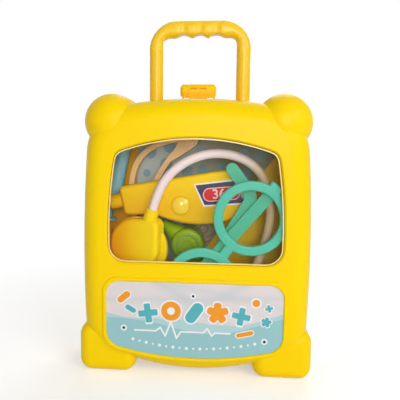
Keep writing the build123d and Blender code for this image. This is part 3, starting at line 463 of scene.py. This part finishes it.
hose = bring_in("stethoscope_hose", tube_curve)
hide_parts("stethoscope_tube")
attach(hose, "case_back")
print("tube points:", len(tube_spline.points))

# %% [markdown]
# ## Helpers for small flat pieces
#
# Prints with an edge and moulded rims are small plates. Each is made flat in its own XZ plane with
# bmesh, given a little thickness towards the front, and then moved to its place inside the mesh, so
# that the object itself stays at the origin. An extrusion gives new vertices in a list with edges and
# faces, so one helper picks the vertices out.


# %% Make a piece from a bmesh
def finish_piece(name, shape, materials, body):
    """Turns a bmesh into an object that rides on a body."""
    bmesh.ops.recalc_face_normals(shape, faces=shape.faces)
    mesh = bpy.data.meshes.new(name)
    shape.to_mesh(mesh)
    shape.free()
    for material in materials:
        mesh.materials.append(material)
    piece = bring_in(name, mesh)
    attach(piece, body)
    print(name, "faces:", len(mesh.polygons))
    return piece


def new_verts(grown):
    """The vertices among what an extrusion made."""
    return [item for item in grown["geom"] if isinstance(item, bmesh.types.BMVert)]


def raise_plate(shape, thickness):
    """Gives flat faces in the XZ plane a thickness towards the front."""
    grown = bmesh.ops.extrude_face_region(shape, geom=shape.faces[:])
    bmesh.ops.translate(shape, verts=new_verts(grown), vec=(0, -thickness, 0))


def drop_faces(shape, unwanted):
    """Removes faces, and the edges and vertices that only they had."""
    bmesh.ops.delete(shape, geom=unwanted, context="FACES")


def round_over(shape, edges, offset, segments):
    """Rounds some edges of a shape."""
    bmesh.ops.bevel(
        shape,
        geom=edges,
        offset=offset,
        segments=segments,
        profile=0.5,
        material=-1,
        affect="EDGES",
    )


def settle(shape, x, y, z, turn=0.0):
    """Turns a flat shape about Y by degrees and moves it to its place."""
    spin = Matrix.Rotation(math.radians(-turn), 4, "Y")
    bmesh.ops.transform(shape, matrix=Matrix.Translation((x, y, z)) @ spin, verts=shape.verts)


def stamp(sheet, shape, paint):
    """Adds a shape to a sheet of shapes, in the paint of that number."""
    for face in shape.faces:
        face.material_index = paint
    pressed = bpy.data.meshes.new("pressed")
    shape.to_mesh(pressed)
    shape.free()
    sheet.from_mesh(pressed)
    bpy.data.meshes.remove(pressed)


# %% Round flat shapes
upright = Matrix.Rotation(math.radians(90), 4, "X")


def disc(radius, segments=40):
    """Flat disc in the XZ plane, turned half a step so that no corner lies at X = 0."""
    shape = bmesh.new()
    half_step = Matrix.Rotation(math.pi / segments, 4, "Z")
    bmesh.ops.create_circle(
        shape, cap_ends=True, segments=segments, radius=radius, matrix=upright @ half_step
    )
    return shape


def band(outer, inner, segments=48):
    """Flat ring in the XZ plane."""
    shape = bmesh.new()
    for radius in (outer, inner):
        bmesh.ops.create_circle(shape, segments=segments, radius=radius, matrix=upright)
    bmesh.ops.bridge_loops(shape, edges=shape.edges[:])
    return shape


def pill(half_length, radius):
    """Disc pulled apart along X."""
    shape = disc(radius)
    for vert in shape.verts:
        bmesh.ops.translate(shape, verts=[vert], vec=(math.copysign(half_length, vert.co.x), 0, 0))
    return shape


# %% Plus signs and flowers
tip_rounding = 0.14
corners_per_petal = 12


def plus(arm):
    """Plus sign: a grid of nine squares that has lost its corners, with its tips rounded."""
    shape = bmesh.new()
    bmesh.ops.create_grid(shape, x_segments=3, y_segments=3, size=arm, matrix=upright)
    corners = [
        face for face in shape.faces if min(abs(v) for v in face.calc_center_median().xz) > arm / 3
    ]
    drop_faces(shape, corners)
    bmesh.ops.bevel(
        shape,
        geom=[vert for vert in shape.verts if len(vert.link_edges) == 2],
        offset=arm * tip_rounding,
        segments=4,
        profile=0.5,
        material=-1,
        affect="VERTICES",
    )
    return shape


def petals(radius, depth, count=5):
    """Round flower: a disc whose rim is pushed in between its petals."""
    shape = disc(radius, segments=count * corners_per_petal)
    for vert in shape.verts:
        angle = math.atan2(vert.co.z, vert.co.x)
        dip = 1 - depth * (1 - abs(math.cos(angle * count / 2))) ** 2
        bmesh.ops.scale(shape, verts=[vert], vec=(dip, 1, dip))
    return shape


# %% Start from a solid
same_place = 1e-6
flat_angle = 0.02
sharp_angle = 1.0


def solid_copy(name):
    """A solid's own shape to work on, with its loose triangles joined."""
    shape = bmesh.new()
    shape.from_mesh(nodes[name].data)
    bmesh.ops.remove_doubles(shape, verts=shape.verts, dist=same_place)
    return shape


def front_face(name):
    """Only the front face of a flat solid, as one face with many corners."""
    shape = solid_copy(name)
    bmesh.ops.dissolve_limit(shape, angle_limit=flat_angle, verts=shape.verts, edges=shape.edges)
    foremost = min(shape.faces, key=lambda face: face.calc_center_median().y)
    drop_faces(shape, [face for face in shape.faces if face != foremost])
    print(name, "front corners:", len(foremost.verts), "at", round(foremost.verts[0].co.y, 4))
    return shape


def sharp_edges(shape):
    """Edges whose two faces meet at a clear angle, in radians."""
    return [edge for edge in shape.edges if edge.calc_face_angle(0) > sharp_angle]


# %% [markdown]
# ## Grip of the handle
#
# Between its finger dips the grip has soft ridges, because a mould for soft-looking plastic is polished
# by hand. The solid has them crisp. A copy of it is rebuilt by the Remesh modifier in cells of well under
# a millimetre, and the Smooth modifier then wears its sharp edges down like the polishing does.

# %% Skin of the handle
cell_size = 0.0007
handle_shape = solid_copy("handle")
handle_skin = finish_piece("handle_skin", handle_shape, [handle_yellow], "pull_handle")
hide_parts("handle")
rebuild = handle_skin.modifiers.new("cells", "REMESH")
rebuild.mode = "VOXEL"
rebuild.voxel_size = cell_size
rebuild.use_smooth_shade = True
wear = handle_skin.modifiers.new("wear", "SMOOTH")
wear.factor = 0.5
wear.iterations = 20

# %% [markdown]
# ## Lip of the seam
#
# Where two moulded halves meet, one of them has a low lip inside that reaches past the seam into the
# other, so that no light or dust gets through. The lip follows the inner wall. A cut through the back
# half, just behind the seam, gives that line as a loop of edges: it starts from the edge nearest to a
# point in the hollow and grows from edge to edge. The loop is pulled forward into a strip, drawn in by a
# hair along its normals and given a thickness. It stops above the hinge, which needs room.

# %% Follow the inner wall
lip_half_depth = 0.0015
hollow_point = Vector((0, lip_half_depth, 0.2))
lip = solid_copy("back_shell")
section = bmesh.ops.bisect_plane(
    lip,
    geom=lip.verts[:] + lip.edges[:] + lip.faces[:],
    plane_co=(0, lip_half_depth, 0),
    plane_no=(0, 1, 0),
)
outline = {item for item in section["geom_cut"] if isinstance(item, bmesh.types.BMEdge)}
wall_line = {min(outline, key=lambda edge: (edge.verts[0].co - hollow_point).length)}
reached = 0
while len(wall_line) > reached:
    reached = len(wall_line)
    ends = {vert for edge in wall_line for vert in edge.verts}
    wall_line |= {edge for edge in outline if ends & set(edge.verts)}
print("edges along the inner wall:", len(wall_line))

# %% Make the lip from it
above_hinge = 0.020
hair = 0.0002
lip_thickness = 0.0009
kept = {vert for edge in wall_line for vert in edge.verts if vert.co.z > above_hinge}
bmesh.ops.delete(lip, geom=[vert for vert in lip.verts if vert not in kept], context="VERTS")
pulled = bmesh.ops.extrude_edge_only(lip, edges=lip.edges[:])
bmesh.ops.translate(lip, verts=new_verts(pulled), vec=(0, -2 * lip_half_depth, 0))
bmesh.ops.recalc_face_normals(lip, faces=lip.faces)
lip.normal_update()
for vert in lip.verts:
    vert.co -= hair * vert.normal
bmesh.ops.solidify(lip, geom=lip.faces[:], thickness=lip_thickness)
print("lip reaches out to", round(max(vert.co.x for vert in lip.verts), 5))
finish_piece("seam_lip", lip, [case_yellow], "case_back")

# %% [markdown]
# ## Lip of the pane
#
# The pane is a shallow formed tray, so a thin bead runs round just inside the window's edge; its pale
# cream colour is a painted highlight, the light that the formed edge catches. The bead comes from the
# pane itself: its front face is copied, inset to the bead's line, inset again by the bead's width, and
# the narrow strip between is given a thickness.

# %% Bead round the window
bead_inset = 0.0046
bead_width = 0.0010
bead_height = 0.0011
bead = front_face("window_pane")
for depth in (bead_inset, bead_width):
    drop_faces(bead, [face for face in bead.faces if len(face.verts) == 4])
    bmesh.ops.inset_region(
        bead, faces=bead.faces[:], thickness=depth, use_boundary=True, use_even_offset=True
    )
drop_faces(bead, [max(bead.faces, key=lambda face: len(face.verts))])
raise_plate(bead, bead_height)
# Pale cream of the bead: painted highlight along the pane's formed edge.
pane_edge_painted_highlight = moulded_plastic("pane_edge_painted_highlight", tint(253, 230, 150), tint(246, 206, 100), gloss=(0.12, 0.22))
finish_piece("window_bead", bead, [pane_edge_painted_highlight], "door")

# %% [markdown]
# ## Ridge round the sticker
#
# A soft ridge frames the sticker and keeps fingers off its edge. It starts from the panel's own front
# face too, but here the outline is extruded in place and its new edge spread outwards. The strip between
# is raised, and the edges along its front are rounded with a bevel, so that each side catches the light
# in its own way.

# %% Spread the outline of the sticker
ridge_width = 0.0030
badge_low, badge_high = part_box("badge_plate")
badge_size = badge_high - badge_low
spread = (1 + 2 * ridge_width / badge_size.x, 1, 1 + 2 * ridge_width / badge_size.z)
from_badge_middle = Matrix.Translation(-(badge_low + badge_high) / 2)
ridge = front_face("badge_plate")
edge_copy = bmesh.ops.extrude_edge_only(ridge, edges=ridge.edges[:])
bmesh.ops.scale(ridge, verts=new_verts(edge_copy), vec=spread, space=from_badge_middle)
drop_faces(ridge, [max(ridge.faces, key=lambda face: len(face.verts))])

# %% Raise the ridge and round its shoulders
ridge_height = 0.0014
ridge_rounding = 0.0012
raise_plate(ridge, ridge_height)
half_way_up = min(vert.co.y for vert in ridge.verts) + ridge_height / 2
shoulders = [
    edge for edge in sharp_edges(ridge) if all(vert.co.y < half_way_up for vert in edge.verts)
]
round_over(ridge, shoulders, ridge_rounding, 5)
for face in ridge.faces:
    face.smooth = True
finish_piece("badge_ridge", ridge, [case_yellow], "door")

# %% [markdown]
# ## Motifs on the printed panel
#
# The pattern on the sticker is a cheerful row of rounded shapes in water blue and orange, each with a
# white edge, above a pulse line and an arc of white dots. None of it is a word or a figure. Every
# motif is a plate thinner than a hair that lies on the sticker, first in white and a little larger,
# then in its colour. They are all stamped into one mesh with four paints.

# %% Paints of the motifs
paints = [
    moulded_plastic("print_white", tint(242, 242, 240), tint(234, 236, 236), gloss=(0.2, 0.3)),
    moulded_plastic("print_water", tint(88, 180, 192), tint(78, 170, 184), gloss=(0.2, 0.3)),
    moulded_plastic("print_orange", tint(244, 158, 40), tint(238, 146, 28), gloss=(0.2, 0.3)),
    moulded_plastic("print_navy", tint(30, 66, 112), tint(24, 56, 100), gloss=(0.2, 0.3)),
]
white, water, orange, navy = range(len(paints))
badge_front = badge_low.y
motifs = bmesh.new()
print("paints:", len(paints), "laid on at", round(badge_front, 4))

# %% Place a motif
rim_height = 0.00006
colour_height = 0.00012


def place_motif(shape, rim, paint, x, z, turn=0.0):
    """Stamps a white rim and a coloured shape on it, in place on the panel."""
    raise_plate(rim, rim_height)
    settle(rim, x, badge_front, z, turn)
    stamp(motifs, rim, white)
    raise_plate(shape, colour_height)
    settle(shape, x, badge_front, z, turn)
    stamp(motifs, shape, paint)


# %% Row of large shapes
place_motif(plus(0.0078), plus(0.0093), water, -0.0365, 0.0530, 8)
place_motif(band(0.0079, 0.0031), disc(0.0091), orange, -0.0180, 0.0552)
place_motif(pill(0.0046, 0.0045), pill(0.0046, 0.0057), water, 0.0005, 0.0543, 55)
place_motif(petals(0.0086, 0.5), petals(0.0100, 0.42), orange, 0.0190, 0.0548, 18)
place_motif(plus(0.0072), plus(0.0087), water, 0.0375, 0.0528, -10)
place_motif(disc(0.0030), disc(0.0042), orange, 0.0490, 0.0640)
print("large shapes:", len(motifs.faces), "faces")

# %% Small shapes near the corners
place_motif(pill(0.0034, 0.0026), pill(0.0034, 0.0035), orange, -0.0560, 0.0655, 40)
place_motif(pill(0.0026, 0.0021), pill(0.0026, 0.0029), water, -0.0505, 0.0560, -30)
place_motif(petals(0.0040, 0.5), petals(0.0049, 0.42), water, 0.0570, 0.0490, 5)
place_motif(plus(0.0030), plus(0.0040), water, 0.0590, 0.0600, 15)
place_motif(pill(0.0052, 0.0017), pill(0.0052, 0.0025), orange, 0.0405, 0.0385, 14)
place_motif(disc(0.0012), disc(0.0025), navy, -0.0560, 0.0400)
place_motif(disc(0.0012), disc(0.0025), navy, 0.0560, 0.0330)
place_motif(disc(0.0011), disc(0.0023), navy, -0.0005, 0.0680)
print("large and small shapes:", len(motifs.faces), "faces")

# %% Pulse line
stroke_radius = 0.00065
stroke_heights = (0.00014, 0.00010)
pulse_points = [
    (-0.0470, 0.0385),
    (-0.0300, 0.0385),
    (-0.0265, 0.0415),
    (-0.0225, 0.0345),
    (-0.0180, 0.0465),
    (-0.0135, 0.0330),
    (-0.0100, 0.0385),
    (0.0080, 0.0385),
    (0.0110, 0.0420),
    (0.0145, 0.0360),
    (0.0170, 0.0385),
    (0.0290, 0.0385),
]
for number, (start, end) in enumerate(zip(pulse_points, pulse_points[1:])):
    run = Vector(end) - Vector(start)
    stroke = pill(run.length / 2, stroke_radius)
    raise_plate(stroke, stroke_heights[number % 2])
    middle = (Vector(start) + Vector(end)) / 2
    settle(stroke, middle.x, badge_front, middle.y, math.degrees(math.atan2(run.y, run.x)))
    stamp(motifs, stroke, white)
print("pulse strokes:", len(pulse_points) - 1)

# %% Arc of dots
dot_step = 0.0054
dot_radii = (0.00085, 0.00125)
dot_height = 0.00010
arc_foot = 0.0248
arc_bend = 2.6
for step in range(-9, 10):
    dot = disc(dot_radii[step % 2], segments=20)
    raise_plate(dot, dot_height)
    settle(dot, step * dot_step, badge_front, arc_foot + arc_bend * (step * dot_step) ** 2)
    stamp(motifs, dot, white)
finish_piece("badge_motifs", motifs, paints, "door")

# %% [markdown]
# ## Reading of the thermometer
#
# The display is a small printed plate with a white border. A red oval glows on it, and on the oval
# stands the reading in pale digits. The digits are a text object made into a mesh, because only a mesh
# can be moved within itself.

# %% Border of the display
border_spread = (1.075, 1, 1.15)
border_sink = 0.00038
border_height = 0.00022
border = front_face("thermometer_display")
border.faces.ensure_lookup_table()
from_border_middle = Matrix.Translation(-border.faces[0].calc_center_median())
bmesh.ops.scale(border, verts=border.verts, vec=border_spread, space=from_border_middle)
bmesh.ops.translate(border, verts=border.verts, vec=(0, border_sink, 0))
raise_plate(border, border_height)
finish_piece("display_border", border, [paints[white]], "case_back")

# %% Glow of the display
display_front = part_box("thermometer_display")[0].y
thermometer_lean = 5.5
glow_x, glow_z = 0.0204, 0.1476
glow_half_length = 0.0094
glow_red = moulded_plastic("glow_red", tint(226, 30, 34), tint(206, 16, 24), gloss=(0.15, 0.25))
oval = bmesh.new()
for radius, height, paint in ((0.0056, 0.00005, 1), (0.0049, 0.00010, 0)):
    lozenge = pill(glow_half_length, radius)
    raise_plate(lozenge, height)
    settle(lozenge, glow_x, display_front, glow_z, thermometer_lean)
    stamp(oval, lozenge, paint)
digit_pink = moulded_plastic("digit_pink", tint(255, 214, 216), tint(246, 190, 196), gloss=(0.2, 0.3))
finish_piece("display_glow", oval, [glow_red, digit_pink], "case_back")

# %% Digits
digit_x, digit_z = 0.0222, 0.1477
digit_lift = 0.00012
reading = bpy.data.curves.new("reading", "FONT")
reading.body = "36.5"
reading.size = 0.0108
reading.extrude = 0.00008
reading.offset = 0.0002
reading.align_x = "CENTER"
reading.align_y = "CENTER"
draft = bpy.data.objects.new("draft", reading)
digits = bmesh.new()
digit_mesh = bpy.data.meshes.new_from_object(draft)
digits.from_mesh(digit_mesh)
bmesh.ops.transform(digits, matrix=upright, verts=digits.verts)
settle(digits, digit_x, display_front - digit_lift, digit_z, thermometer_lean)
bpy.data.meshes.remove(digit_mesh)
bpy.data.objects.remove(draft)
finish_piece("display_digits", digits, [digit_pink], "case_back")

# %% [markdown]
# ## Rings of the otoscope
#
# The round head of the otoscope carries two low moulded rings, the outer one on a shoulder that lies a
# little further back. Each is a flat ring with a thickness and a bevel along its rims, sunk a little
# into the face so that it grows out of it.

# %% Moulded rings
head_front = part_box("otoscope_body")[0].y
head_x, head_z = -0.0069, 0.1040
shoulder_depth = 0.0012
ring_width = 0.0018
ring_height = 0.0010
ring_rounding = 0.0004
ring_sink = 0.0002
rings = bmesh.new()
for outer, face_y in ((0.0108, head_front + shoulder_depth), (0.0064, head_front)):
    ring = band(outer, outer - ring_width, segments=64)
    raise_plate(ring, ring_height)
    round_over(ring, sharp_edges(ring), ring_rounding, 3)
    settle(ring, head_x, face_y + ring_sink, head_z)
    stamp(rings, ring, 0)
finish_piece("otoscope_rings", rings, [lime_green], "case_back")

# %% [markdown]
# ## Camera
#
# The case is seen from close by, a little from the right and from just above its middle. A camera this
# near shows how the body narrows towards the back.

# %% Camera
camera_data = bpy.data.cameras.new("camera")
camera_data.sensor_width = 36
camera_data.lens = 42.352
camera_data.shift_x = 0.0552
camera_data.shift_y = -0.0169
camera = bring_in("camera", camera_data)
camera.location = (0.01696, -0.400, 0.18804)
camera.rotation_euler = [math.radians(turn) for turn in (83.9285, -0.4939, 4.8431)]
bpy.context.scene.camera = camera
bpy.context.scene.view_settings.view_transform = "Standard"
print("camera in front of the seam:", round(-camera.location.y, 3), "m")

# %% [markdown]
# ## Studio
#
# The case stands on a plain white floor. Two soft lamps light it from the front, one of them from high
# on the right, and a weak warm one fills in from the left. Two more light its back, and the world adds
# an even glow. The camera sees the world as white, and the floor turns into that white some way from
# the case, so no horizon shows. Near the case it keeps the shadow. A Light Path node tells the rays
# that the eye follows from those that carry light, so this white shows, also in gloss, but lights
# nothing.


# %% What the eye meets
def met_by_eye(tree):
    """1 for a ray from the camera, straight or by way of gloss or glass, and 0 for one that lights."""
    path = tree.nodes.new("ShaderNodeLightPath")
    met = maths(tree, "ADD", path.outputs["Is Camera Ray"], path.outputs["Is Glossy Ray"])
    met = maths(tree, "ADD", met, path.outputs["Is Transmission Ray"])
    met.node.use_clamp = True
    return met


# %% Floor that keeps the shadow near the case and is plain white to the eye far from it
plain_white = (1, 1, 1, 1)
near_glow = 0.42
fade_start = 0.13
fade_end = 0.42
floor_white, floor_tree, floor_shader = blank_material("floor_white")
floor_shader.inputs["Base Color"].default_value = (0.78, 0.78, 0.78, 1)
floor_shader.inputs["Roughness"].default_value = 0.7
floor_shader.inputs["Specular IOR Level"].default_value = 0.1
floor_shader.inputs["Emission Color"].default_value = plain_white
floor_met = met_by_eye(floor_tree)
floor_glow = maths(floor_tree, "MULTIPLY", floor_met, near_glow)
floor_tree.links.new(floor_glow, floor_shader.inputs["Emission Strength"])
from_case = floor_tree.nodes.new("ShaderNodeVectorMath")
from_case.operation = "LENGTH"
floor_tree.links.new(object_place(floor_tree), from_case.inputs[0])
far_off = rescale(floor_tree, from_case.outputs["Value"], fade_start, fade_end, kind="SMOOTHSTEP")
bright = add_node(floor_tree, "ShaderNodeEmission", Color=plain_white, Strength=1.0)
fade = floor_tree.nodes.new("ShaderNodeMixShader")
floor_tree.links.new(maths(floor_tree, "MULTIPLY", floor_met, far_off), fade.inputs[0])
floor_tree.links.new(floor_shader.outputs[0], fade.inputs[1])
floor_tree.links.new(bright.outputs[0], fade.inputs[2])
floor_tree.links.new(fade.outputs[0], floor_tree.nodes["Material Output"].inputs["Surface"])

# %% Floor
floor_half_width = 4.0
floor_shape = bmesh.new()
bmesh.ops.create_grid(floor_shape, x_segments=1, y_segments=1, size=floor_half_width)
floor_mesh = bpy.data.meshes.new("floor")
floor_shape.to_mesh(floor_mesh)
floor_shape.free()
floor_mesh.materials.append(floor_white)
floor = bring_in("floor", floor_mesh)
print("floor width:", 2 * floor_half_width, "m")

# %% Lamps
case_middle = Vector((0, 0, 0.14))
case_shoulder = Vector((0, 0, 0.18))
for name, place, target, size, power, colour in (
    ("key_right", (0.85, -0.95, 0.75), case_middle, 0.7, 7.0, (1, 0.99, 0.97)),
    ("fill_left", (-0.9, -0.9, 0.45), case_middle, 0.8, 0.3, (1, 0.88, 0.7)),
    ("front_soft", (0.15, -1.3, 0.40), case_middle, 0.5, 6.2, (1, 1, 1)),
    ("top_back", (0.1, 0.8, 1.1), case_shoulder, 0.7, 3.5, (1, 1, 1)),
    ("back_soft", (0.45, 1.25, 0.45), case_middle, 0.6, 4.6, (1, 1, 1)),
):
    light = bpy.data.lights.new(name, "AREA")
    light.shape = "SQUARE"
    light.size = size
    light.energy = power
    light.color = colour
    lamp = bring_in(name, light)
    lamp.location = place
    lamp.rotation_euler = (target - Vector(place)).to_track_quat("-Z", "Y").to_euler()
    print(name, "at", round((target - Vector(place)).length, 2), "m")

# %% World
world_light = 0.27
world = bpy.data.worlds.new("studio_glow")
world.use_nodes = True
bpy.context.scene.world = world
world_tree = world.node_tree
background = world_tree.nodes["Background"]
background.inputs["Color"].default_value = plain_white
strength = maths(world_tree, "MULTIPLY_ADD", met_by_eye(world_tree), 1 - world_light, world_light)
world_tree.links.new(strength, background.inputs["Strength"])
print("world nodes:", len(world_tree.nodes))
